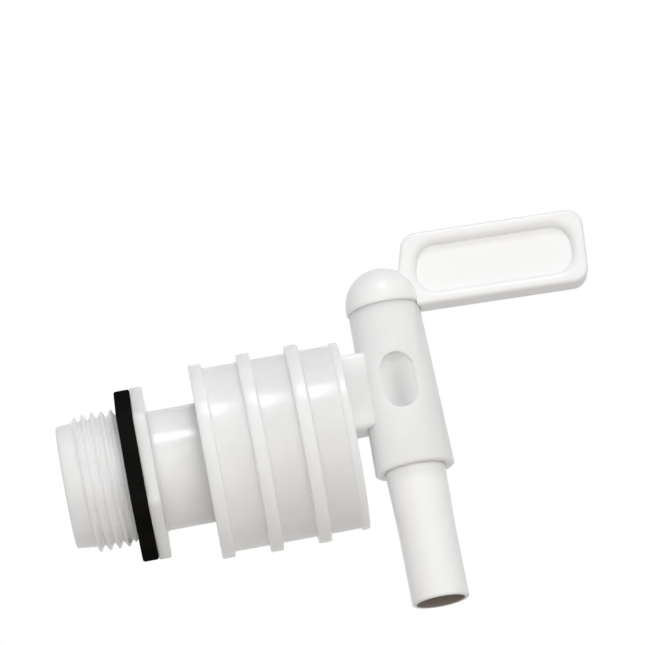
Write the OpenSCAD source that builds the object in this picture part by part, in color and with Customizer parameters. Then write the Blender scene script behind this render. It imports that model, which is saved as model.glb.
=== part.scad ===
// Jerrycan tap: a threaded spigot with a hexagon flange and a rubber washer, a ribbed
// collar with an eccentric inlet and an upright barrel in one moulding, a tapered plug
// that runs on as the spout, and a flag handle with a dome that is pressed on its stem.
// X runs along the thread, from the container (-X) to the handle's tip (+X), and Z is up.
// The origin is on the thread's axis, in the washer face that seals on the container.

/* [Thread and pilot] */
// Outer diameter of the thread (three quarter inch pipe thread)
thread_d = 26.44; // [24:0.01:30]
// Length of the threaded stretch, up to the washer's sealing face
thread_len = 8.9; // [6:0.1:16]
// Length of the smooth lead-in before the thread
pilot_len = 3.1; // [1:0.1:6]
// Diameter of the lead-in where it meets the thread
pilot_d = 24.2; // [22.5:0.1:24.4]
// How much thinner the lead-in is at its tip, on the diameter
pilot_taper = 0.6; // [0:0.1:1.5]
// Bore through the whole spigot
spigot_bore_d = 17; // [12:0.1:18]
// How much smaller the shank under the washer is than the thread, on the radius
shank_relief = 0.4; // [0.2:0.05:0.8]

/* [Flange and washer] */
// Hexagon width across the flats
hex_af = 30; // [28:0.1:34]
// Thickness of the hexagon flange
flange_t = 2.5; // [1.5:0.1:5]
// Turn of the flange about the thread's axis, with a corner straight up at 0
flange_turn = 3; // [-30:1:30]
// Thickness of the rubber washer
washer_t = 3.1; // [1.5:0.1:5]
// Room around the thread in the washer's hole, which has to slip over it
washer_gap = 0.1; // [0.05:0.05:0.4]

/* [Neck] */
// Outer diameter of the neck
neck_d = 23.2; // [21:0.1:24]
// Free length of the neck between the flange and the collar's mouth
neck_free = 9.4; // [4:0.1:30]
// How far the snap bead stands proud of the neck
bead_proud = 0.45; // [0.2:0.05:0.8]
// Width of the snap bead
bead_w = 1.6; // [1:0.1:2.5]
// Distance from the collar's mouth to the middle of the snap bead
bead_depth = 9.5; // [7.5:0.1:12]
// Thickness of the ring that seals the neck
ring_section = 1.5; // [1:0.1:1.8]
// Distance from the collar's mouth to the middle of the sealing ring
seal_depth = 20.5; // [14:0.1:24]
// Room beside the sealing ring in its groove
ring_play = 0.3; // [0.1:0.05:0.4]

/* [Collar] */
// Diameter of the collar between its ribs
collar_d = 35.7; // [34:0.1:42]
// Length of the collar
collar_len = 28.9; // [27:0.1:40]
// Wall of the collar
collar_wall = 1.8; // [1.2:0.1:2]
// Thickness of the collar's closed end
end_t = 2.2; // [1.5:0.1:3]
// Wall of the socket that holds the neck
socket_wall = 1.75; // [1.2:0.05:2]
// Distance from the collar's mouth to the socket's mouth
socket_setback = 5; // [1:0.1:7]
// Distance from one rib to the next
rib_pitch = 9.35; // [5:0.05:9.5]
// Width of a rib
rib_w = 2.6; // [1:0.1:4]
// Height of the rib at the mouth
mouth_rib_h = 1; // [0.3:0.05:2]
// Height of the ribs between the ends
rib_h = 1.4; // [0.3:0.05:2.5]
// Height of the rib at the closed end
end_rib_h = 0.35; // [0.1:0.05:2]
// Width of the rib at the closed end
end_rib_w = 1.6; // [0.8:0.1:2.5]

/* [Inlet and barrel] */
// Distance from the collar's closed end to the barrel's axis
barrel_reach = 10.4; // [8.5:0.1:20]
// Height of the inlet's middle above the thread's axis
inlet_rise = 7.5; // [5:0.1:9]
// Height of the inlet
inlet_h = 14.8; // [14:0.1:18]
// Width of the inlet
inlet_w = 9.2; // [8.5:0.1:12]
// Rounding of the inlet's long edges
inlet_edge_r = 1; // [0.3:0.1:2]
// Height of the flow passage
port_h = 11.2; // [7:0.1:11.8]
// Width of the flow passage
port_w = 6.4; // [4:0.1:6.8]
// Height of the barrel's top above the thread's axis
barrel_top = 23.3; // [21.5:0.1:34]
// Depth of the barrel's foot below the thread's axis
barrel_foot = 9; // [4:0.1:20]
// Outer diameter of the barrel at its top
barrel_top_d = 13.9; // [13.4:0.1:16]
// Outer diameter of the barrel at its foot
barrel_foot_d = 15.4; // [14.8:0.1:18]
// Depth of the oval recess below the barrel's front
recess_depth = 1.3; // [0.6:0.05:1.4]

/* [Plug and spout] */
// Outer diameter of the plug at the barrel's foot
plug_foot_d = 11.6; // [10:0.1:12]
// Outer diameter of the plug at the barrel's top
plug_top_d = 9.4; // [8.8:0.1:9.8]
// Outer diameter of the spout's straight end
spout_d = 11; // [10:0.1:12]
// Length of the spout below the barrel's foot
spout_len = 26; // [18:0.1:60]
// Length of the spout's straight end
spout_straight = 14; // [6:0.1:16]
// Wall of the spout at its mouth
spout_wall = 0.9; // [0.7:0.1:1.4]
// Diameter of the plug's bore at its closed end
plug_bore_top_d = 7.2; // [6:0.1:7.6]
// How far the plug's bore runs on above the flow passage
bore_headroom = 1.4; // [0.5:0.1:2]
// Width of the square stem that the handle sits on
stem_w = 5.6; // [4:0.1:6]
// Height of the stem above the plug
stem_h = 5.2; // [3.5:0.1:5.6]
// Height of the stem's snap head
stem_head_h = 1; // [0.6:0.1:1.5]
// How far the snap head stands proud of the stem
stem_head_proud = 0.25; // [0.1:0.05:0.4]

/* [Handle] */
// Diameter of the dome
dome_d = 14.5; // [14:0.1:17]
// Height of the straight band under the dome
dome_band = 0.8; // [0.2:0.05:3]
// Distance from the barrel's axis to the handle's lower corner inside the dome
handle_start = 2; // [1:0.1:5]
// How far the handle's edge beside the dome leans away from the barrel
near_lean = 4; // [0:0.1:6]
// Distance from the barrel's axis to the handle's tip
handle_reach = 41.3; // [28:0.1:80]
// How far the handle's edge at the tip leans away from the barrel
tip_lean = 1.2; // [0:0.1:3]
// How far the handle's lower edge hangs below the dome's rim, at the dome
handle_drop = 1; // [0:0.1:2.2]
// How much lower the handle's lower edge lies at the tip
handle_fall = 1.3; // [0:0.1:2]
// Height of the handle beside the dome
handle_h_root = 14.5; // [12:0.1:24]
// Height of the handle at its tip
handle_h_tip = 14.7; // [11:0.1:24]
// Thickness of the handle's rim
handle_t = 6; // [4:0.1:7]
// Width of the rim seen from the side
rim_w = 2.6; // [2:0.1:4]
// Width of the rim beside the dome
near_rim_w = 3.4; // [2:0.1:5]
// Rounding of the rim's edges
rim_edge_r = 0.8; // [0.5:0.1:1.4]
// Thickness of the panel inside the rim
panel_t = 2.2; // [1.2:0.1:3]
// Outer corner radius beside the dome
corner_r_root = 3.4; // [2:0.1:5]
// Outer corner radius at the tip
corner_r_tip = 3.1; // [2:0.1:5]
// Corner radius inside the rim
corner_r_inside = 3.9; // [2:0.1:4.5]

/* [Fits] */
// Radial clearance of the parts that turn in each other
running_gap = 0.05; // [0.02:0.01:0.1]
// Gap between faces that pass each other
face_gap = 0.25; // [0.1:0.05:0.5]

/* [Hidden] */
$fn = 96;

// How far a cutting shape reaches past the face that it opens
past = 1;
natural = [0.90, 0.91, 0.90];
white = [0.97, 0.97, 0.96];
black = [0.08, 0.08, 0.08];

hex_r = hex_af / 2 / cos(30);
shank_r = thread_d / 2 - shank_relief;
flange_x = washer_t;
neck_x = flange_x + flange_t;
collar_x = neck_x + neck_free;
collar_end = collar_x + collar_len;
end_x = collar_end - end_t;
spigot_end = end_x - face_gap;
bead_x = collar_x + bead_depth;
seal_x = collar_x + seal_depth;
ring_r = neck_d / 2 + running_gap / 2 - ring_section / 2;
groove_w = ring_section + 2 * ring_play;
socket_bore_r = neck_d / 2 + running_gap;
socket_r = socket_bore_r + socket_wall;
cup_bore_r = collar_d / 2 - collar_wall;

barrel_x = collar_end + barrel_reach;
barrel_h = barrel_top + barrel_foot;
bore_foot_r = plug_foot_d / 2 + running_gap;
bore_top_r = plug_top_d / 2 + running_gap;
// Outer radius of the barrel, level with the middle of the inlet
barrel_front_r = barrel_foot_d / 2
    - (barrel_foot_d - barrel_top_d) / 2 * (inlet_rise + barrel_foot) / barrel_h;

plug_top = barrel_top - face_gap;
spout_mouth = -barrel_foot - spout_len;
spout_bore_r = spout_d / 2 - spout_wall;
bore_end = inlet_rise + port_h / 2 + bore_headroom;

rim_z = barrel_top + face_gap;
dome_z = rim_z + dome_band;
handle_z = rim_z - handle_drop;
stem_gap = 0.05;

// Corners of the handle's outline, anticlockwise from the lower one beside the dome
handle_corners = [
    [handle_start, handle_z],
    [handle_reach - tip_lean, handle_z - handle_fall],
    [handle_reach, handle_z - handle_fall + handle_h_tip],
    [handle_start + near_lean, handle_z + handle_h_root],
];
outer_radii = [corner_r_root, corner_r_tip, corner_r_tip, corner_r_root];
// Widths of the rim along the lower, tip, upper and near edges
rim_widths = [rim_w, rim_w, rim_w, near_rim_w];
inner_corners = inset(handle_corners, rim_widths);
inner_radii = [for (r = outer_radii) corner_r_inside];

// A round piece along X, from x over a length
module bar_x(x, len, r, r_far = undef) {
    translate([x, 0, 0])
        rotate([0, 90, 0])
            cylinder(h = len, r1 = r, r2 = is_undef(r_far) ? r : r_far);
}

// A hexagon plate along X with a corner straight up
module hexagon_x(x, len) {
    translate([x, 0, 0])
        rotate([0, 90, 0])
            cylinder(h = len, r = hex_r, $fn = 6);
}

// A rectangle with round corners about the origin
module rounded_rect(w, h, r) {
    square([w - 2 * r, h], center = true);
    square([w, h - 2 * r], center = true);
    for (sx = [-1, 1], sy = [-1, 1])
        translate([sx * (w / 2 - r), sy * (h / 2 - r)])
            circle(r);
}

// An upright oval with straight sides
module oval(w, h) {
    square([w, h - w], center = true);
    for (s = [-1, 1])
        translate([0, s * (h - w) / 2])
            circle(w / 2);
}

// The flow passage's oval, driven along X over a length
module port_x(x, len) {
    translate([x, 0, inlet_rise])
        rotate([90, 0, 90])
            linear_extrude(len)
                oval(port_w, port_h);
}

// Round-cornered outlines and rims of a convex, anticlockwise list of corners
function wrapped(list, i) = list[(i + len(list)) % len(list)];
function direction(p, q) = (q - p) / norm(q - p);
function dir_in(corners, i) = direction(wrapped(corners, i - 1), corners[i]);
function dir_out(corners, i) = direction(corners[i], wrapped(corners, i + 1));
function left_of(d) = [-d[1], d[0]];
function turn_at(corners, i) = acos(dir_in(corners, i) * dir_out(corners, i));
function setback(corners, radii, i) = radii[i] * tan(turn_at(corners, i) / 2);
function arc_start(corners, radii, i) =
    corners[i] - setback(corners, radii, i) * dir_in(corners, i);
function arc_end(corners, radii, i) =
    corners[i] + setback(corners, radii, i) * dir_out(corners, i);
function arc_centre(corners, radii, i) =
    arc_start(corners, radii, i) + radii[i] * left_of(dir_in(corners, i));
function inset_corner(corners, widths, i) =
    let (a = left_of(dir_in(corners, i)), b = left_of(dir_out(corners, i)), k = a * b,
         before = wrapped(widths, i - 1), after = widths[i])
    corners[i] + ((before - k * after) * a + (after - k * before) * b) / (1 - k * k);
function inset(corners, widths) =
    [for (i = [0:len(corners) - 1]) inset_corner(corners, widths, i)];

module rounded_outline(corners, radii) {
    polygon([for (i = [0:len(corners) - 1])
        each [arc_start(corners, radii, i), arc_end(corners, radii, i)]]);
    for (i = [0:len(corners) - 1])
        translate(arc_centre(corners, radii, i))
            circle(radii[i]);
}

// What the rounding takes off one long edge of the rim; its wall is at x = 0 and faces -X
module edge_profile() {
    translate([rim_edge_r, handle_t / 2 - rim_edge_r])
        difference() {
            translate([-rim_edge_r - past, 0])
                square(rim_edge_r + past);
            circle(rim_edge_r);
        }
}

// The rounding of two opposite long edges on both faces, run out over the corners
module edge_rounding(corners, first) {
    for (i = [first, first + 2], face = [0, 1]) {
        way = dir_out(corners, i);
        mirror([0, 0, face])
            translate(corners[i] - past * way)
                rotate([0, 0, atan2(way[1], way[0])])
                    rotate([90, 0, 90])
                        linear_extrude(norm(wrapped(corners, i + 1) - corners[i]) + 2 * past)
                            edge_profile();
    }
}

module spigot() {
    color(natural)
    difference() {
        union() {
            bar_x(-thread_len - pilot_len, pilot_len, (pilot_d - pilot_taper) / 2, pilot_d / 2);
            bar_x(-thread_len, thread_len, thread_d / 2);
            bar_x(0, flange_x + flange_t / 2, shank_r);
            rotate([flange_turn, 0, 0])
                hexagon_x(flange_x, flange_t);
            bar_x(neck_x - flange_t / 2, spigot_end - neck_x + flange_t / 2, neck_d / 2);
            bar_x(bead_x - bead_w / 2, bead_w, neck_d / 2 + bead_proud);
        }
        bar_x(-thread_len - pilot_len - past, spigot_end + thread_len + pilot_len + 2 * past,
              spigot_bore_d / 2);
        seal_groove();
    }
}

// The groove in the neck that the sealing ring lies in
module seal_groove() {
    difference() {
        bar_x(seal_x - groove_w / 2, groove_w, neck_d / 2 + past);
        bar_x(seal_x - groove_w / 2 - past, groove_w + 2 * past, ring_r - ring_section / 2);
    }
}

module flange_washer() {
    color(black)
    difference() {
        hexagon_x(0, washer_t);
        bar_x(-past, washer_t + 2 * past, thread_d / 2 + washer_gap);
    }
}

module neck_seal_ring() {
    color(black)
    translate([seal_x, 0, 0])
        rotate([0, 90, 0])
            rotate_extrude()
                translate([ring_r, 0])
                    circle(ring_section / 2, $fn = 48);
}

// The ribs on the collar: one at the mouth, then one at each pitch, and a low one at the end
module collar_ribs() {
    bar_x(collar_x, rib_w, collar_d / 2 + mouth_rib_h);
    for (x = [collar_x + rib_pitch : rib_pitch : collar_end - end_rib_w - rib_w])
        bar_x(x, rib_w, collar_d / 2 + rib_h);
    bar_x(collar_end - end_rib_w, end_rib_w, collar_d / 2 + end_rib_h);
}

module tap_body() {
    color(natural)
    difference() {
        union() {
            difference() {
                union() {
                    bar_x(collar_x, collar_len, collar_d / 2);
                    collar_ribs();
                }
                bar_x(collar_x - past, end_x - collar_x + past, cup_bore_r);
            }
            bar_x(collar_x + socket_setback, end_x - collar_x - socket_setback + end_t / 2, socket_r);
            inlet();
            barrel();
        }
        bar_x(collar_x - past, end_x - collar_x + past, socket_bore_r);
        bar_x(bead_x - bead_w / 2 - face_gap, bead_w + 2 * face_gap,
              socket_bore_r + bead_proud);
        port_x(end_x - past, barrel_x - end_x + past);
        barrel_bore();
        front_recess();
    }
}

module inlet() {
    translate([collar_end - end_t / 2, 0, inlet_rise])
        rotate([90, 0, 90])
            linear_extrude(barrel_x - collar_end + end_t / 2)
                rounded_rect(inlet_w, inlet_h, inlet_edge_r);
}

module barrel() {
    translate([barrel_x, 0, -barrel_foot])
        cylinder(h = barrel_h, r1 = barrel_foot_d / 2, r2 = barrel_top_d / 2);
}

// The bore keeps the barrel's taper past both faces
module barrel_bore() {
    slope = (bore_foot_r - bore_top_r) / barrel_h;
    translate([barrel_x, 0, -barrel_foot - past])
        cylinder(h = barrel_h + 2 * past, r1 = bore_foot_r + slope * past,
                 r2 = bore_top_r - slope * past);
}

module front_recess() {
    translate([barrel_x, -barrel_front_r + recess_depth, inlet_rise])
        rotate([90, 0, 0])
            linear_extrude(recess_depth + past)
                oval(port_w, port_h);
}

module plug_spout() {
    color(white)
    translate([barrel_x, 0, 0])
    difference() {
        union() {
            translate([0, 0, spout_mouth])
                cylinder(h = spout_straight, r = spout_d / 2);
            translate([0, 0, spout_mouth + spout_straight])
                cylinder(h = spout_len - spout_straight, r1 = spout_d / 2, r2 = plug_foot_d / 2);
            translate([0, 0, -barrel_foot])
                cylinder(h = plug_top + barrel_foot, r1 = plug_foot_d / 2, r2 = plug_top_d / 2);
            stem(stem_w, stem_h, 0);
            stem(stem_w + 2 * stem_head_proud, stem_head_h, stem_h - stem_head_h);
        }
        plug_bore();
        translate([-barrel_x, 0, 0])
            port_x(barrel_x - plug_foot_d, plug_foot_d);
    }
}

// A square block on the plug's axis, from a height above the plug's top
module stem(w, h, above) {
    translate([-w / 2, -w / 2, plug_top + above])
        cube([w, w, h]);
}

module plug_bore() {
    translate([0, 0, spout_mouth - past])
        cylinder(h = spout_straight + past, r = spout_bore_r);
    translate([0, 0, spout_mouth + spout_straight])
        cylinder(h = bore_end - spout_mouth - spout_straight, r1 = spout_bore_r,
                 r2 = plug_bore_top_d / 2);
}

module handle() {
    color(white)
    translate([barrel_x, 0, 0])
    difference() {
        union() {
            dome();
            flag();
        }
        stem(stem_w + 2 * stem_gap, stem_h + stem_gap, 0);
        stem(stem_w + 2 * (stem_head_proud + stem_gap), stem_head_h + 2 * stem_gap,
             stem_h - stem_head_h - stem_gap);
    }
}

module dome() {
    translate([0, 0, rim_z])
        cylinder(h = dome_band, r = dome_d / 2);
    translate([0, 0, dome_z])
        intersection() {
            sphere(dome_d / 2);
            cylinder(h = dome_d, r = dome_d);
        }
}

// Stands what is drawn in the XY plane up in the XZ plane
module upright() {
    rotate([90, 0, 0])
        children();
}

// The flag is a rim with rounded edges round a panel that lies deeper
module flag() {
    difference() {
        difference() {
            flag_plate();
            upright()
                edge_rounding(handle_corners, 0);
        }
        upright()
            edge_rounding(handle_corners, 1);
        upright()
            panel_pockets();
    }
}

// The flag's plate, which ends beside the barrel below the dome's rim
module flag_plate() {
    cut_z = handle_z - handle_fall - past;
    difference() {
        upright()
            linear_extrude(handle_t, center = true)
                rounded_outline(handle_corners, outer_radii);
        translate([0, -handle_t, cut_z])
            cube([barrel_top_d / 2 + face_gap, 2 * handle_t, rim_z - cut_z]);
    }
}

module panel_pockets() {
    for (face = [0, 1])
        mirror([0, 0, face])
            translate([0, 0, panel_t / 2])
                linear_extrude(handle_t)
                    rounded_outline(inner_corners, inner_radii);
}

spigot();
flange_washer();
neck_seal_ring();
tap_body();
plug_spout();
handle();
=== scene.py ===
import math

import bmesh
import bpy
from mathutils import Matrix, Vector


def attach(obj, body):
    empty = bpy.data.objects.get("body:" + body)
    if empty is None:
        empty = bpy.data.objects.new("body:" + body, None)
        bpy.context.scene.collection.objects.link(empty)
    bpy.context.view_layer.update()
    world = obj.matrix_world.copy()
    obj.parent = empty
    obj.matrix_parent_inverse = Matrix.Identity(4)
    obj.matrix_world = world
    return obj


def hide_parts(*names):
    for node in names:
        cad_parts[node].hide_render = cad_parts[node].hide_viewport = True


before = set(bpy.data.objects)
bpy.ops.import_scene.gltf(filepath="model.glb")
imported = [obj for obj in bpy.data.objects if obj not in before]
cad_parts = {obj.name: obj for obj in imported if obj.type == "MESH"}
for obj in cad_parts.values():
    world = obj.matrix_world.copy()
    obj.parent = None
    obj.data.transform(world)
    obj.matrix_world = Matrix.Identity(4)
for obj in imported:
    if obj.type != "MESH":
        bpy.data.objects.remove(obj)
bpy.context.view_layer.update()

MM = 0.001

# Sizes in millimetres and degrees, as in part.scad. In the names X and Z are places, R is a
# radius, H a height, W a width and T a thickness.

# Spigot and washer; HEX_FLAT is half the width across flats
PILOT_X, PILOT_TIP_R, PILOT_R = -12.0, 11.8, 12.1
THREAD_X, THREAD_R, SHANK_R, BORE_R = -8.9, 13.22, 12.82, 8.5
WASHER_T, WASHER_GAP, FLANGE_T, HEX_FLAT, FLANGE_TURN = 3.1, 0.1, 2.5, 15.0, 3.0
NECK_R, SPIGOT_END = 11.6, 41.45
BEAD_X, BEAD_W, BEAD_PROUD = 24.5, 1.6, 0.45
SEAL_X, GROOVE_W, GROOVE_R = 35.5, 2.1, 10.125

# Tap body; the end wall is between END_X and COLLAR_END
COLLAR_X, COLLAR_END, END_X, COLLAR_R, CUP_R = 15.0, 43.9, 41.7, 17.85, 16.05
SOCKET_X, SOCKET_R, SOCKET_BORE_R, FACE_GAP = 20.0, 13.4, 11.65, 0.25
RIB_PITCH, RIB_W, RIB_H = 9.35, 2.6, 1.4
MOUTH_RIB_H, END_RIB_H, END_RIB_W = 1.0, 0.35, 1.6
BARREL_X, BARREL_TOP, BARREL_FOOT = 54.3, 23.3, -9.0
BARREL_TOP_R, BARREL_FOOT_R = 6.95, 7.7
BORE_TOP_R, BORE_FOOT_R = 4.75, 5.85
INLET_Z, INLET_H, INLET_W, INLET_EDGE_R = 7.5, 14.8, 9.2, 1.0
PORT_H, PORT_W, RECESS_DEPTH = 11.2, 6.4, 1.3

# Plug with its spout
PLUG_TOP, PLUG_TOP_R, PLUG_FOOT_R = 23.05, 4.7, 5.8
MOUTH_Z, SPOUT_R, SPOUT_BORE_R, SPOUT_STRAIGHT = -35.0, 5.5, 4.6, 14.0
BORE_END, BORE_END_R = 14.5, 3.6
STEM_W, STEM_H, STEM_GAP = 5.6, 5.2, 0.05

# Handle; the near end is at the barrel, and NEAR and FAR count from the barrel's axis
RIM_Z, DOME_R, DOME_BAND = 23.55, 7.25, 0.8
HANDLE_Z, HANDLE_NEAR, HANDLE_FAR, HANDLE_FALL = 22.55, 2.0, 41.3, 1.3
NEAR_LEAN, TIP_LEAN = 4.0, 1.2
HANDLE_H_NEAR, HANDLE_H_FAR, HANDLE_T, PANEL_T = 14.5, 14.7, 6.0, 2.2
RIM_W, NEAR_RIM_W, RIM_EDGE = 2.6, 3.4, 0.8
CORNER_NEAR, CORNER_FAR, CORNER_IN = 3.4, 3.1, 3.9

# What part.scad hasn't: the thread's form. ROOT and FLANK are shares of half a pitch, and
# SOFT_FLANK is how much of the flank is an S curve.
PITCH, THREAD_DEPTH, THREAD_RINGS = 1.814, 1.1, 116
ROOT, FLANK, SOFT_FLANK = 0.12, 0.72, 0.35
RUN_IN, RUN_OUT, THREAD_STOP = 0.9, 0.6, -0.25

# Rounding of the hexagons' corners: degrees to each side, and the share of the tip that is left
FLANGE_SOFT, WASHER_SOFT, TIP_LEFT = 4.5, 4.0, 0.45

# Rounding between rim and pocket and at the pocket's floor, the dome's lip below RIM_Z, and the
# gap between the handle's foot and the barrel
RIM_SOFT, FLOOR_EDGE, DOME_LIP, HANDLE_GAP = 1.45, 0.1, 0.21, 0.09

# Modelling aids: the radius that stands for the axis, how far a cutter reaches past the face
# that it opens, and the small holes that the lathe leaves with the cores that fill them
AXIS_R, PAST = 0.002, 1.0
COLLAR_HOLE, COLLAR_CORE, PLUG_HOLE, PLUG_CORE = 1.0, 1.5, 0.5, 1.0
SEGMENTS, BARREL_SEGMENTS = 240, 160


# Meshes

def make_object(name, vertices, faces, smooth_angle=40):
    mesh = bpy.data.meshes.new(name)
    mesh.from_pydata([tuple(c * MM for c in v) for v in vertices], [], faces)
    mesh.validate()
    piece = bpy.data.objects.new(name, mesh)
    bpy.context.scene.collection.objects.link(piece)
    shade(piece, smooth_angle)
    return piece


def shade(piece, smooth_angle=40):
    mesh = piece.data
    mesh.shade_smooth()
    mesh.set_sharp_from_angle(angle=math.radians(smooth_angle))


def half_angle(u, v):
    return math.acos(max(-1.0, min(1.0, u.dot(v)))) / 2


def arc(centre, first, last, turn, pieces):
    """Points round the centre, from the offset first towards the offset last."""
    sign = 1 if first.cross(last) > 0 else -1
    points = []
    for k in range(pieces + 1):
        angle = sign * turn * k / pieces
        c, s = math.cos(angle), math.sin(angle)
        points.append(centre + Vector((first.x * c - first.y * s, first.x * s + first.y * c)))
    return points


def filleted(corners, step=12.0):
    """A closed outline of (a, b, radius) corners, each corner turned into an arc."""
    least_bend, side_share = 0.01, 0.49
    points = []
    count = len(corners)
    for i, (a, b, radius) in enumerate(corners):
        here = Vector((a, b))
        before = Vector(corners[i - 1][:2]) - here
        after = Vector(corners[(i + 1) % count][:2]) - here
        u, v = before.normalized(), after.normalized()
        half = half_angle(u, v)
        if radius <= 0 or half < least_bend or half > math.pi / 2 - least_bend:
            points.append(here)
            continue
        reach = min(radius / math.tan(half), before.length * side_share, after.length * side_share)
        radius = reach * math.tan(half)
        centre = here + (u + v).normalized() * radius / math.sin(half)
        start, end = here + u * reach, here + v * reach
        turn = math.pi - 2 * half
        pieces = max(2, math.ceil(math.degrees(turn) / step))
        points += arc(centre, start - centre, end - centre, turn, pieces)
    return [(p.x, p.y) for p in points]


def skin(name, rings, closed=True, smooth_angle=40):
    """Joins rings of equally many points, each ring closed, into one surface."""
    count = len(rings[0])
    vertices = [p for ring in rings for p in ring]
    faces = []
    for i in range(len(rings) if closed else len(rings) - 1):
        j = (i + 1) % len(rings)
        for k in range(count):
            m = (k + 1) % count
            faces.append((i * count + k, i * count + m, j * count + m, j * count + k))
    if not closed:
        faces.append(tuple(reversed(range(count))))
        faces.append(tuple((len(rings) - 1) * count + k for k in range(count)))
    return make_object(name, vertices, faces, smooth_angle)


def ring_x(x, radius_at, segments, turn=0.0):
    ring = []
    for k in range(segments):
        angle = 2 * math.pi * k / segments
        radius = radius_at(angle)
        ring.append((x, radius * math.cos(angle + turn), radius * math.sin(angle + turn)))
    return ring


def circle_x(x, radius, segments=SEGMENTS):
    return ring_x(x, lambda angle: radius, segments)


def lathe_x(name, outline, segments=144):
    """A closed outline of (x, radius) points turned about the thread's axis."""
    return skin(name, [circle_x(x, r, segments) for x, r in outline])


def lathe_z(name, outline, segments):
    """A closed outline of (z, radius) points turned about the barrel's axis."""
    rings = []
    for z, r in outline:
        angles = [2 * math.pi * k / segments for k in range(segments)]
        rings.append([(BARREL_X + r * math.cos(a), r * math.sin(a), z) for a in angles])
    return skin(name, rings)


def outward(piece):
    """Joins the points that lie in one place and turns all faces outward."""
    bpy.context.view_layer.update()
    work = bmesh.new()
    work.from_mesh(piece.data)
    bmesh.ops.remove_doubles(work, verts=work.verts, dist=1e-7)
    bmesh.ops.recalc_face_normals(work, faces=work.faces)
    work.to_mesh(piece.data)
    work.free()


def combine(piece, tool, operation, smooth_angle=40):
    outward(tool)
    modifier = piece.modifiers.new("combine", "BOOLEAN")
    modifier.operation = operation
    modifier.solver = "EXACT"
    modifier.object = tool
    depsgraph = bpy.context.evaluated_depsgraph_get()
    mesh = bpy.data.meshes.new_from_object(piece.evaluated_get(depsgraph))
    piece.modifiers.clear()
    piece.data = mesh
    bpy.data.objects.remove(tool)
    shade(piece, smooth_angle)


def square_bar(name, half, z0, z1):
    """An upright square bar on the barrel's axis."""
    vertices = [(x, y, z) for x in (BARREL_X - half, BARREL_X + half)
                for y in (-half, half) for z in (z0, z1)]
    faces = [(0, 1, 3, 2), (4, 6, 7, 5), (0, 4, 5, 1), (2, 3, 7, 6), (0, 2, 6, 4), (1, 5, 7, 3)]
    return make_object(name, vertices, faces)


def prism_x(name, x0, x1, outline):
    """An outline of (across, up) points about the inlet's middle, drawn out along X."""
    rings = [[(x, across, INLET_Z + up) for across, up in outline] for x in (x0, x1)]
    return skin(name, rings, closed=False)


def prism_y(name, y0, y1, outline):
    """The same on the barrel's axis, drawn out along Y."""
    rings = [[(BARREL_X + across, y, INLET_Z + up) for across, up in outline] for y in (y0, y1)]
    return skin(name, rings, closed=False)


def port_outline(steps=20):
    """The port's upright oval with straight sides, as (across, up) points."""
    radius, rise = PORT_W / 2, (PORT_H - PORT_W) / 2
    points = []
    for start, middle in ((0.0, rise), (math.pi, -rise)):
        for k in range(steps + 1):
            angle = start + math.pi * k / steps
            points.append((radius * math.cos(angle), middle + radius * math.sin(angle)))
    return points


def quarter(steps):
    """The angles of a quarter turn, with both its ends."""
    return [math.radians(90) * k / steps for k in range(steps + 1)]


# Spigot and washer. The small numbers in their lists are the roundings of edges.

def hexagon(x, shrink, soft, turn=0.0):
    """A ring with rounded corners, the first at 90 degrees, all of it drawn in by shrink."""
    def sharp(off):
        return HEX_FLAT / math.cos(math.radians(30 - off))

    def radius_at(angle):
        off = abs((math.degrees(angle) - 90 + 30) % 60 - 30)
        if off >= soft:
            return sharp(off) - shrink
        tip = (sharp(0) - sharp(soft)) * TIP_LEFT * (1 - (off / soft) ** 2)
        return sharp(soft) + tip - shrink

    return ring_x(x, radius_at, SEGMENTS, turn)


def thread_radius(x, angle):
    """The helix: from the root to the crest and back over one pitch, faded out at both ends."""
    def limited(value):
        return min(1.0, max(0.0, value))

    phase = ((x - THREAD_X) / PITCH - angle / (2 * math.pi)) % 1.0
    rise = limited((abs(phase - 0.5) * 2 - ROOT) / FLANK)
    rise = rise * rise * (3 - 2 * rise) * SOFT_FLANK + rise * (1 - SOFT_FLANK)
    fade = min(limited((x - THREAD_X) / RUN_IN), limited((THREAD_STOP - x) / RUN_OUT))
    return THREAD_R - THREAD_DEPTH + THREAD_DEPTH * rise * fade


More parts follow.
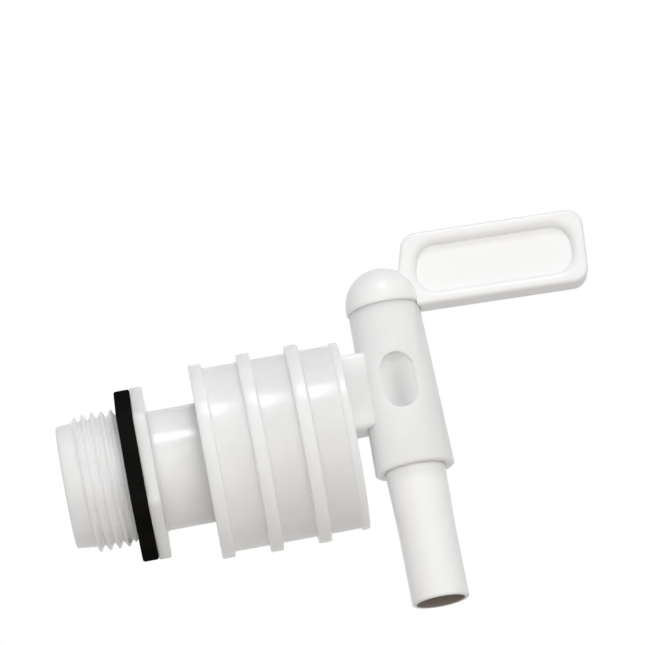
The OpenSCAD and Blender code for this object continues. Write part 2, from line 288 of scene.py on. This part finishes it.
def build_spigot():
    """One surface from the bore's far end, round the pilot and along the outside."""
    flange_x, neck_x = WASHER_T, WASHER_T + FLANGE_T
    bead_x, bead_end = BEAD_X - BEAD_W / 2, BEAD_X + BEAD_W / 2
    groove_x, groove_end = SEAL_X - GROOVE_W / 2, SEAL_X + GROOVE_W / 2
    inside_and_pilot = (
        (SPIGOT_END - 0.3, BORE_R), (20, BORE_R), (0, BORE_R), (PILOT_X + 0.35, BORE_R),
        (PILOT_X + 0.1, BORE_R + 0.1), (PILOT_X, BORE_R + 0.35), (PILOT_X, PILOT_TIP_R - 0.5),
        (PILOT_X + 0.05, PILOT_TIP_R - 0.25), (PILOT_X + 0.15, PILOT_TIP_R - 0.1),
        (PILOT_X + 0.4, PILOT_TIP_R), (THREAD_X - 0.15, PILOT_R - 0.02), (THREAD_X, PILOT_R))
    shank = ((-0.1, SHANK_R - 0.7), (0.1, SHANK_R), (WASHER_T - 0.02, SHANK_R))
    flange = ((flange_x, 0.45), (flange_x + 0.04, 0.25), (flange_x + 0.14, 0.09),
              (flange_x + 0.32, 0.0), (neck_x - 0.4, 0.0), (neck_x - 0.18, 0.09),
              (neck_x - 0.05, 0.26), (neck_x, 0.5))
    neck = (
        (neck_x, NECK_R + 0.5), (neck_x + 0.08, NECK_R + 0.28), (neck_x + 0.25, NECK_R + 0.1),
        (neck_x + 0.6, NECK_R),
        (bead_x - 0.02, NECK_R), (bead_x, NECK_R + BEAD_PROUD),
        (bead_end, NECK_R + BEAD_PROUD), (bead_end + 0.02, NECK_R),
        (groove_x - 0.01, NECK_R), (groove_x, GROOVE_R),
        (groove_end, GROOVE_R), (groove_end + 0.01, NECK_R),
        (SPIGOT_END - 0.4, NECK_R), (SPIGOT_END, NECK_R - 0.4), (SPIGOT_END, BORE_R + 0.3))

    rings = [circle_x(x, r) for x, r in inside_and_pilot]
    first, last = THREAD_X + 0.05, -0.2
    for k in range(THREAD_RINGS + 1):
        x = first + (last - first) * k / THREAD_RINGS
        rings.append(ring_x(x, lambda angle: thread_radius(x, angle), SEGMENTS))
    rings += [circle_x(x, r) for x, r in shank]
    rings += [hexagon(x, shrink, FLANGE_SOFT, math.radians(FLANGE_TURN)) for x, shrink in flange]
    rings += [circle_x(x, r) for x, r in neck]
    piece = skin("spigot_mesh", rings, smooth_angle=42)
    outward(piece)
    shade(piece, smooth_angle=42)
    return piece


def build_washer():
    hole = THREAD_R + WASHER_GAP
    inside = ((WASHER_T - 0.15, hole), (0.15, hole), (0.0, hole + 0.15))
    outside = ((0.0, 0.5), (0.06, 0.24), (0.2, 0.07), (0.45, 0.0), (WASHER_T - 0.45, 0.0),
               (WASHER_T - 0.2, 0.06), (WASHER_T - 0.06, 0.2), (WASHER_T, 0.45))
    rings = [circle_x(x, r) for x, r in inside]
    rings += [hexagon(x, shrink, WASHER_SOFT) for x, shrink in outside]
    rings.append(circle_x(WASHER_T, hole + 0.15))
    piece = skin("flange_washer_mesh", rings)
    outward(piece)
    shade(piece)
    return piece


# The tap's body

def collar_outline():
    """The cup with its ribs, end wall and inner socket, as one closed section."""
    edge, root = 0.35, 0.3
    mouth_r, end_rib_r = COLLAR_R + MOUTH_RIB_H, COLLAR_R + END_RIB_H
    snap_r, snap_half = SOCKET_BORE_R + BEAD_PROUD, BEAD_W / 2 + FACE_GAP
    out = [(COLLAR_X, CUP_R, 0.25), (COLLAR_X, mouth_r, edge),
           (COLLAR_X + RIB_W, mouth_r, edge), (COLLAR_X + RIB_W, COLLAR_R, root)]
    for k in (1, 2):
        x = COLLAR_X + RIB_PITCH * k
        out += [(x, COLLAR_R, root), (x, COLLAR_R + RIB_H, edge),
                (x + RIB_W, COLLAR_R + RIB_H, edge), (x + RIB_W, COLLAR_R, root)]
    x = COLLAR_END - END_RIB_W
    out += [(x, COLLAR_R, 0.15), (x, end_rib_r, 0.15), (COLLAR_END, end_rib_r, 0.45),
            (COLLAR_END, COLLAR_HOLE, 0.0), (END_X, COLLAR_HOLE, 0.0),
            (END_X, SOCKET_BORE_R, 0.3),
            (BEAD_X + snap_half, SOCKET_BORE_R, 0.0), (BEAD_X + snap_half, snap_r, 0.0),
            (BEAD_X - snap_half, snap_r, 0.0), (BEAD_X - snap_half, SOCKET_BORE_R, 0.0),
            (SOCKET_X, SOCKET_BORE_R, 0.3), (SOCKET_X, SOCKET_R, 0.3),
            (END_X, SOCKET_R, 0.4), (END_X, CUP_R, 0.4)]
    return out


def build_tap_body():
    piece = lathe_x("tap_body_mesh", filleted(collar_outline()))
    outward(piece)
    core = [(END_X, AXIS_R / 2), (END_X, COLLAR_CORE), (COLLAR_END, COLLAR_CORE),
            (COLLAR_END, AXIS_R / 2)]
    combine(piece, lathe_x("end_plug", core, 32), "UNION")
    half_w, half_h = INLET_W / 2, INLET_H / 2
    section = filleted([(-half_w, -half_h, INLET_EDGE_R), (half_w, -half_h, INLET_EDGE_R),
                        (half_w, half_h, INLET_EDGE_R), (-half_w, half_h, INLET_EDGE_R)], step=18)
    combine(piece, prism_x("inlet", COLLAR_END - PAST, BARREL_X, section), "UNION")
    barrel = filleted([(BARREL_FOOT, AXIS_R, 0.0), (BARREL_FOOT, BARREL_FOOT_R, 0.4),
                       (BARREL_TOP, BARREL_TOP_R, 0.25), (BARREL_TOP, AXIS_R, 0.0)])
    combine(piece, lathe_z("barrel", barrel, BARREL_SEGMENTS), "UNION")
    combine(piece, prism_x("port", END_X - PAST, BARREL_X, port_outline()), "DIFFERENCE")
    height = BARREL_TOP - BARREL_FOOT
    spread = (BORE_TOP_R - BORE_FOOT_R) / height * PAST
    bore = [(BARREL_FOOT - PAST, AXIS_R), (BARREL_FOOT - PAST, BORE_FOOT_R - spread),
            (BARREL_TOP + PAST, BORE_TOP_R + spread), (BARREL_TOP + PAST, AXIS_R)]
    combine(piece, lathe_z("bore", bore, 96), "DIFFERENCE")
    front = BARREL_FOOT_R + (BARREL_TOP_R - BARREL_FOOT_R) / height * (INLET_Z - BARREL_FOOT)
    recess = prism_y("recess", -front - PAST, -front + RECESS_DEPTH, port_outline())
    combine(piece, recess, "DIFFERENCE", smooth_angle=34)
    return piece


# The plug with its spout

def build_plug_spout():
    bend = MOUTH_Z + SPOUT_STRAIGHT
    outline = filleted([
        (MOUTH_Z, SPOUT_BORE_R, 0.18), (MOUTH_Z, SPOUT_R, 0.3), (bend, SPOUT_R, 20.0),
        (BARREL_FOOT, PLUG_FOOT_R, 0.0), (PLUG_TOP, PLUG_TOP_R, 0.25), (PLUG_TOP, PLUG_HOLE, 0.0),
        (BORE_END, PLUG_HOLE, 0.0), (BORE_END, BORE_END_R, 0.4), (bend, SPOUT_BORE_R, 20.0)])
    piece = lathe_z("plug_spout_mesh", outline, 144)
    outward(piece)
    core = [(BORE_END, AXIS_R), (BORE_END, PLUG_CORE), (PLUG_TOP, PLUG_CORE), (PLUG_TOP, AXIS_R)]
    combine(piece, lathe_z("core", core, 24), "UNION")
    sunk = 0.5
    combine(piece, square_bar("stem", STEM_W / 2, PLUG_TOP - sunk, PLUG_TOP + STEM_H), "UNION")
    port_x = BARREL_X - 12
    combine(piece, prism_x("plug_port", port_x, BARREL_X, port_outline()), "DIFFERENCE")
    return piece


# The handle

def rounded_loop(corners, radii, arc_steps=10, side_steps=6):
    """A closed outline with the same number of points whatever its size."""
    arcs = []
    count = len(corners)
    for i in range(count):
        here = Vector(corners[i])
        u = (Vector(corners[i - 1]) - here).normalized()
        v = (Vector(corners[(i + 1) % count]) - here).normalized()
        half = half_angle(u, v)
        radius = radii[i]
        centre = here + (u + v).normalized() * radius / math.sin(half)
        first = here + u * radius / math.tan(half) - centre
        last = here + v * radius / math.tan(half) - centre
        arcs.append(arc(centre, first, last, math.pi - 2 * half, arc_steps))
    points = []
    for i, corner in enumerate(arcs):
        points += corner
        begin, end = corner[-1], arcs[(i + 1) % count][0]
        points += [begin.lerp(end, k / side_steps) for k in range(1, side_steps)]
    return points


def inset(corners, widths):
    """The corners moved in by a width for each edge; the first edge joins corners 0 and 1."""
    moved = []
    count = len(corners)
    for i in range(count):
        here = Vector(corners[i])
        way_in = (here - Vector(corners[i - 1])).normalized()
        way_out = (Vector(corners[(i + 1) % count]) - here).normalized()
        a, b = Vector((-way_in.y, way_in.x)), Vector((-way_out.y, way_out.x))
        k, before, after = a.dot(b), widths[i - 1], widths[i]
        shift = ((before - k * after) * a + (after - k * before) * b) / (1 - k * k)
        moved.append(tuple(here + shift))
    return moved


def build_flag(corners):
    """The flat part of the handle: rim, and a pocket on each side of the panel."""
    radii = [CORNER_NEAR, CORNER_FAR, CORNER_FAR, CORNER_NEAR]
    widths = [RIM_W, RIM_W, RIM_W, NEAR_RIM_W]
    rim = rounded_loop(corners, radii)
    rim_top = rounded_loop(inset(corners, [RIM_EDGE] * 4), [r - RIM_EDGE for r in radii])
    wall = rounded_loop(inset(corners, widths), [CORNER_IN] * 4)
    wall_top = rounded_loop(inset(corners, [w - RIM_SOFT for w in widths]),
                            [CORNER_IN + RIM_SOFT * 0.4] * 4)
    floor = rounded_loop(inset(corners, [w + FLOOR_EDGE for w in widths]),
                         [CORNER_IN - FLOOR_EDGE] * 4)
    top, deep = HANDLE_T / 2, PANEL_T / 2

    def between(a, b, share, y):
        return [(p.x + (q.x - p.x) * share, y, p.y + (q.y - p.y) * share) for p, q in zip(a, b)]

    half = []
    for angle in quarter(6):
        y = top - RIM_EDGE + RIM_EDGE * math.sin(angle)
        half.append(between(rim, rim_top, 1 - math.cos(angle), y))
    for angle in quarter(8):
        y = top - RIM_SOFT + RIM_SOFT * math.cos(angle)
        half.append(between(wall_top, wall, math.sin(angle), y))
    for angle in quarter(4):
        y = deep + FLOOR_EDGE - FLOOR_EDGE * math.sin(angle)
        half.append(between(wall, floor, 1 - math.cos(angle), y))
    rings = [[(x, -y, z) for x, y, z in ring] for ring in reversed(half)] + half
    return skin("handle_mesh", rings, closed=False, smooth_angle=50)


def build_handle():
    near, far = BARREL_X + HANDLE_NEAR, BARREL_X + HANDLE_FAR
    low = HANDLE_Z - HANDLE_FALL
    piece = build_flag([(near, HANDLE_Z), (far - TIP_LEAN, low), (far, low + HANDLE_H_FAR),
                        (near + NEAR_LEAN, HANDLE_Z + HANDLE_H_NEAR)])
    outward(piece)
    lip, dome_z = RIM_Z - DOME_LIP, RIM_Z + DOME_BAND
    dome = [(lip, AXIS_R), (lip, DOME_R - 0.25), (lip + 0.08, DOME_R - 0.09), (lip + 0.25, DOME_R),
            (dome_z, DOME_R)]
    dome += [(dome_z + DOME_R * math.sin(a), DOME_R * math.cos(a)) for a in quarter(24)[1:-1]]
    dome.append((dome_z + DOME_R, AXIS_R))
    combine(piece, lathe_z("dome", dome, 128), "UNION", smooth_angle=50)
    room = BARREL_TOP_R + HANDLE_GAP
    clear = [(low - PAST, AXIS_R), (low - PAST, room), (lip, room), (lip, AXIS_R)]
    combine(piece, lathe_z("clear", clear, BARREL_SEGMENTS), "DIFFERENCE", smooth_angle=50)
    socket = square_bar("socket", STEM_W / 2 + STEM_GAP, lip - PAST, PLUG_TOP + STEM_H + STEM_GAP)
    combine(piece, socket, "DIFFERENCE", smooth_angle=50)
    return piece


# Materials

def material(name, colour, roughness, grain, bump, variation,
             specular=0.4, subsurface=0.0, depth=0.0, edge=0.0):
    """A plastic or rubber with a cloudy tone and a fine grain; depth and edge are in metres."""
    made = bpy.data.materials.new(name)
    made.use_nodes = True
    nodes, links = made.node_tree.nodes, made.node_tree.links
    shader = nodes["Principled BSDF"]
    shader.inputs["Roughness"].default_value = roughness
    shader.inputs["IOR"].default_value = 1.5
    shader.inputs["Specular IOR Level"].default_value = specular
    if subsurface:
        shader.inputs["Subsurface Weight"].default_value = subsurface
        shader.inputs["Subsurface Radius"].default_value = (1.0, 1.0, 1.0)
        shader.inputs["Subsurface Scale"].default_value = depth
    place = nodes.new("ShaderNodeTexCoord")
    cloud = nodes.new("ShaderNodeTexNoise")
    cloud.inputs["Scale"].default_value = 160
    cloud.inputs["Detail"].default_value = 3
    links.new(place.outputs["Object"], cloud.inputs["Vector"])
    ramp = nodes.new("ShaderNodeValToRGB")
    dark, pale = ramp.color_ramp.elements
    dark.position, pale.position = 0.35, 0.65
    dark.color = [c * (1 - variation) for c in colour] + [1]
    pale.color = list(colour) + [1]
    links.new(cloud.outputs["Fac"], ramp.inputs["Fac"])
    links.new(ramp.outputs["Color"], shader.inputs["Base Color"])
    fine = nodes.new("ShaderNodeTexNoise")
    fine.inputs["Scale"].default_value = grain
    fine.inputs["Detail"].default_value = 2
    links.new(place.outputs["Object"], fine.inputs["Vector"])
    relief = nodes.new("ShaderNodeBump")
    relief.inputs["Strength"].default_value = bump
    relief.inputs["Distance"].default_value = 0.0001
    links.new(fine.outputs["Fac"], relief.inputs["Height"])
    if edge:
        soften = nodes.new("ShaderNodeBevel")
        soften.samples = 6
        soften.inputs["Radius"].default_value = edge
        links.new(soften.outputs["Normal"], relief.inputs["Normal"])
    links.new(relief.outputs["Normal"], shader.inputs["Normal"])
    return made


def paint_bore_shade(made, colour):
    """Paints shade inside the spout's bore: a darker colour on what lies there, by its distance
    from the barrel's axis.
    """
    outer, inner = SPOUT_BORE_R + 0.35, SPOUT_BORE_R + 0.05
    nodes, links = made.node_tree.nodes, made.node_tree.links
    place = nodes.new("ShaderNodeTexCoord")
    flat = nodes.new("ShaderNodeVectorMath")
    flat.operation = "MULTIPLY"
    flat.inputs[1].default_value = (1, 1, 0)
    links.new(place.outputs["Object"], flat.inputs[0])
    off = nodes.new("ShaderNodeVectorMath")
    off.operation = "DISTANCE"
    off.inputs[1].default_value = (BARREL_X * MM, 0, 0)
    links.new(flat.outputs["Vector"], off.inputs[0])
    inside = nodes.new("ShaderNodeMapRange")
    inside.inputs["From Min"].default_value = outer * MM
    inside.inputs["From Max"].default_value = inner * MM
    links.new(off.outputs["Value"], inside.inputs["Value"])
    tone = nodes.new("ShaderNodeMix")
    tone.data_type = "RGBA"
    tone.inputs["B"].default_value = colour
    base = nodes["Principled BSDF"].inputs["Base Color"]
    links.new(base.links[0].from_socket, tone.inputs["A"])
    links.new(inside.outputs["Result"], tone.inputs["Factor"])
    links.new(tone.outputs["Result"], base)


translucent = dict(roughness=0.22, grain=900, bump=0.08, variation=0.03,
                   subsurface=1.0, depth=0.003, edge=0.0004)
opaque = dict(roughness=0.28, grain=900, bump=0.05, variation=0.01,
              subsurface=0.05, depth=0.002, edge=0.0004)
natural = material("natural_plastic", (0.98, 0.98, 0.98), **translucent)
# A darker copy of the natural plastic, used for the spigot.
darker_natural = material("natural_plastic_darker", (0.915, 0.915, 0.915), **translucent)
white = material("white_plastic", (0.93, 0.93, 0.93), **opaque)
spout_white = material("white_plastic_spout", (0.93, 0.93, 0.93), **opaque)
# The spout's bore is darkened with painted shade, a warm dark colour inside the mouth.
paint_bore_shade(spout_white, (0.37, 0.32, 0.28, 1))
rubber = material("black_rubber", (0.0095, 0.009, 0.0085), roughness=0.5, grain=1800, bump=0.35,
                  variation=0.3, specular=0.0)

pieces = [
    (build_spigot(), "spigot", "spigot_fixed", "natural_plastic", darker_natural),
    (build_washer(), "flange_washer", "spigot_fixed", "black_rubber", rubber),
    (build_tap_body(), "tap_body", "tap_turning", "natural_plastic", natural),
    (build_plug_spout(), "plug_spout", "key", "white_plastic", spout_white),
    (build_handle(), "handle", "key", "white_plastic", white),
]
for piece, node, body, slot, look in pieces:
    piece.data.materials.clear()
    piece.data.materials.append(look)
    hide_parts(node)
    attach(piece, body)
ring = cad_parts["neck_seal_ring"]
ring.data.materials.clear()
ring.data.materials.append(rubber)


# Stage, light and camera; places and sizes of lamps and camera are in metres

FLOOR_Z, FLOOR_REACH = -330, 20000
LAMP_TARGET = (0.05, 0, 0)
SENSOR, PICTURE, FOCAL_PIXELS = 36, 645, 4136
CAMERA_AZIMUTH, CAMERA_ELEVATION, CAMERA_ROLL = -2.0, -15.5, 10.9
CAMERA_AIM, CAMERA_DISTANCE = (0.0422, 0, 0.0232), 0.8


def background_ray(nodes, links):
    """1 for rays that show the background: from the camera, in a reflection, through glass."""
    path = nodes.new("ShaderNodeLightPath")
    total = path.outputs["Is Camera Ray"]
    for kind in ("Is Transmission Ray", "Is Glossy Ray"):
        either = nodes.new("ShaderNodeMath")
        either.operation = "MAXIMUM"
        links.new(total, either.inputs[0])
        links.new(path.outputs[kind], either.inputs[1])
        total = either.outputs[0]
    return total


def place_stage():
    """A floor that sends up warm light, and is a pale background for the rays that show it."""
    corners = [(x * FLOOR_REACH, y * FLOOR_REACH, FLOOR_Z)
               for x, y in ((-1, -1), (1, -1), (1, 1), (-1, 1))]
    floor = make_object("floor", corners, [(0, 1, 2, 3)])
    look = bpy.data.materials.new("floor")
    look.use_nodes = True
    nodes, links = look.node_tree.nodes, look.node_tree.links
    shader = nodes["Principled BSDF"]
    shader.inputs["Roughness"].default_value = 0.9
    tone = nodes.new("ShaderNodeMix")
    tone.data_type = "RGBA"
    tone.inputs["A"].default_value = (0.88, 0.85, 0.81, 1)
    tone.inputs["B"].default_value = (0.9, 0.9, 0.9, 1)
    seen = background_ray(nodes, links)
    links.new(seen, tone.inputs["Factor"])
    links.new(tone.outputs["Result"], shader.inputs["Base Color"])
    lift = nodes.new("ShaderNodeMath")
    lift.operation = "MULTIPLY"
    lift.inputs[1].default_value = 0.42
    links.new(seen, lift.inputs[0])
    shader.inputs["Emission Color"].default_value = (1, 1, 1, 1)
    links.new(lift.outputs["Value"], shader.inputs["Emission Strength"])
    floor.data.materials.append(look)


def area_light(name, place, size, power, reflected=True):
    lamp = bpy.data.lights.new(name, "AREA")
    lamp.shape = "RECTANGLE"
    lamp.size, lamp.size_y = size
    lamp.energy = power
    holder = bpy.data.objects.new(name, lamp)
    bpy.context.scene.collection.objects.link(holder)
    holder.location = place
    holder.visible_glossy = reflected
    way = Vector(LAMP_TARGET) - Vector(place)
    holder.rotation_euler = way.to_track_quat("-Z", "Y").to_euler()


def light_world(side, top):
    """A pale room that gets darker upwards; as a background it is plain white."""
    world = bpy.data.worlds.new("world")
    bpy.context.scene.world = world
    world.use_nodes = True
    nodes, links = world.node_tree.nodes, world.node_tree.links
    way = nodes.new("ShaderNodeTexCoord")
    axes = nodes.new("ShaderNodeSeparateXYZ")
    links.new(way.outputs["Generated"], axes.inputs["Vector"])
    room = nodes.new("ShaderNodeMapRange")
    room.inputs["To Min"].default_value = side
    room.inputs["To Max"].default_value = top
    links.new(axes.outputs["Z"], room.inputs["Value"])
    level = nodes.new("ShaderNodeMapRange")
    level.inputs["To Max"].default_value = 1.0
    links.new(room.outputs["Result"], level.inputs["To Min"])
    links.new(background_ray(nodes, links), level.inputs["Value"])
    back = nodes["Background"]
    back.inputs["Color"].default_value = (1, 1, 1, 1)
    links.new(level.outputs["Result"], back.inputs["Strength"])


def place_camera():
    """The photo's camera: it looks up at the tap and is tilted to one side."""
    data = bpy.data.cameras.new("camera")
    data.sensor_width = SENSOR
    data.lens = FOCAL_PIXELS * SENSOR / PICTURE
    data.clip_end = 50
    camera = bpy.data.objects.new("camera", data)
    bpy.context.scene.collection.objects.link(camera)
    bpy.context.scene.camera = camera
    azimuth, elevation = math.radians(CAMERA_AZIMUTH), math.radians(CAMERA_ELEVATION)
    c, s = math.cos(math.radians(CAMERA_ROLL)), math.sin(math.radians(CAMERA_ROLL))
    back = Vector((math.sin(azimuth) * math.cos(elevation),
                   -math.cos(azimuth) * math.cos(elevation), math.sin(elevation)))
    right = Vector((0, 0, 1)).cross(back).normalized()
    up = back.cross(right)
    right, up = right * c - up * s, up * c + right * s
    place = Vector(CAMERA_AIM) + back * CAMERA_DISTANCE
    camera.matrix_world = Matrix((
        (right.x, up.x, back.x, place.x), (right.y, up.y, back.y, place.y),
        (right.z, up.z, back.z, place.z), (0, 0, 0, 1)))


place_stage()
area_light("key", place=(0.12, -0.42, 0.5), size=(0.16, 0.16), power=1)
area_light("front", place=(0.15, -0.9, 0.05), size=(1.0, 0.6), power=3.3, reflected=False)
area_light("back", place=(-0.1, 0.9, 0.15), size=(1.0, 0.6), power=1.6, reflected=False)
light_world(side=0.73, top=0.12)
place_camera()

scene = bpy.context.scene
scene.view_settings.view_transform = "Standard"
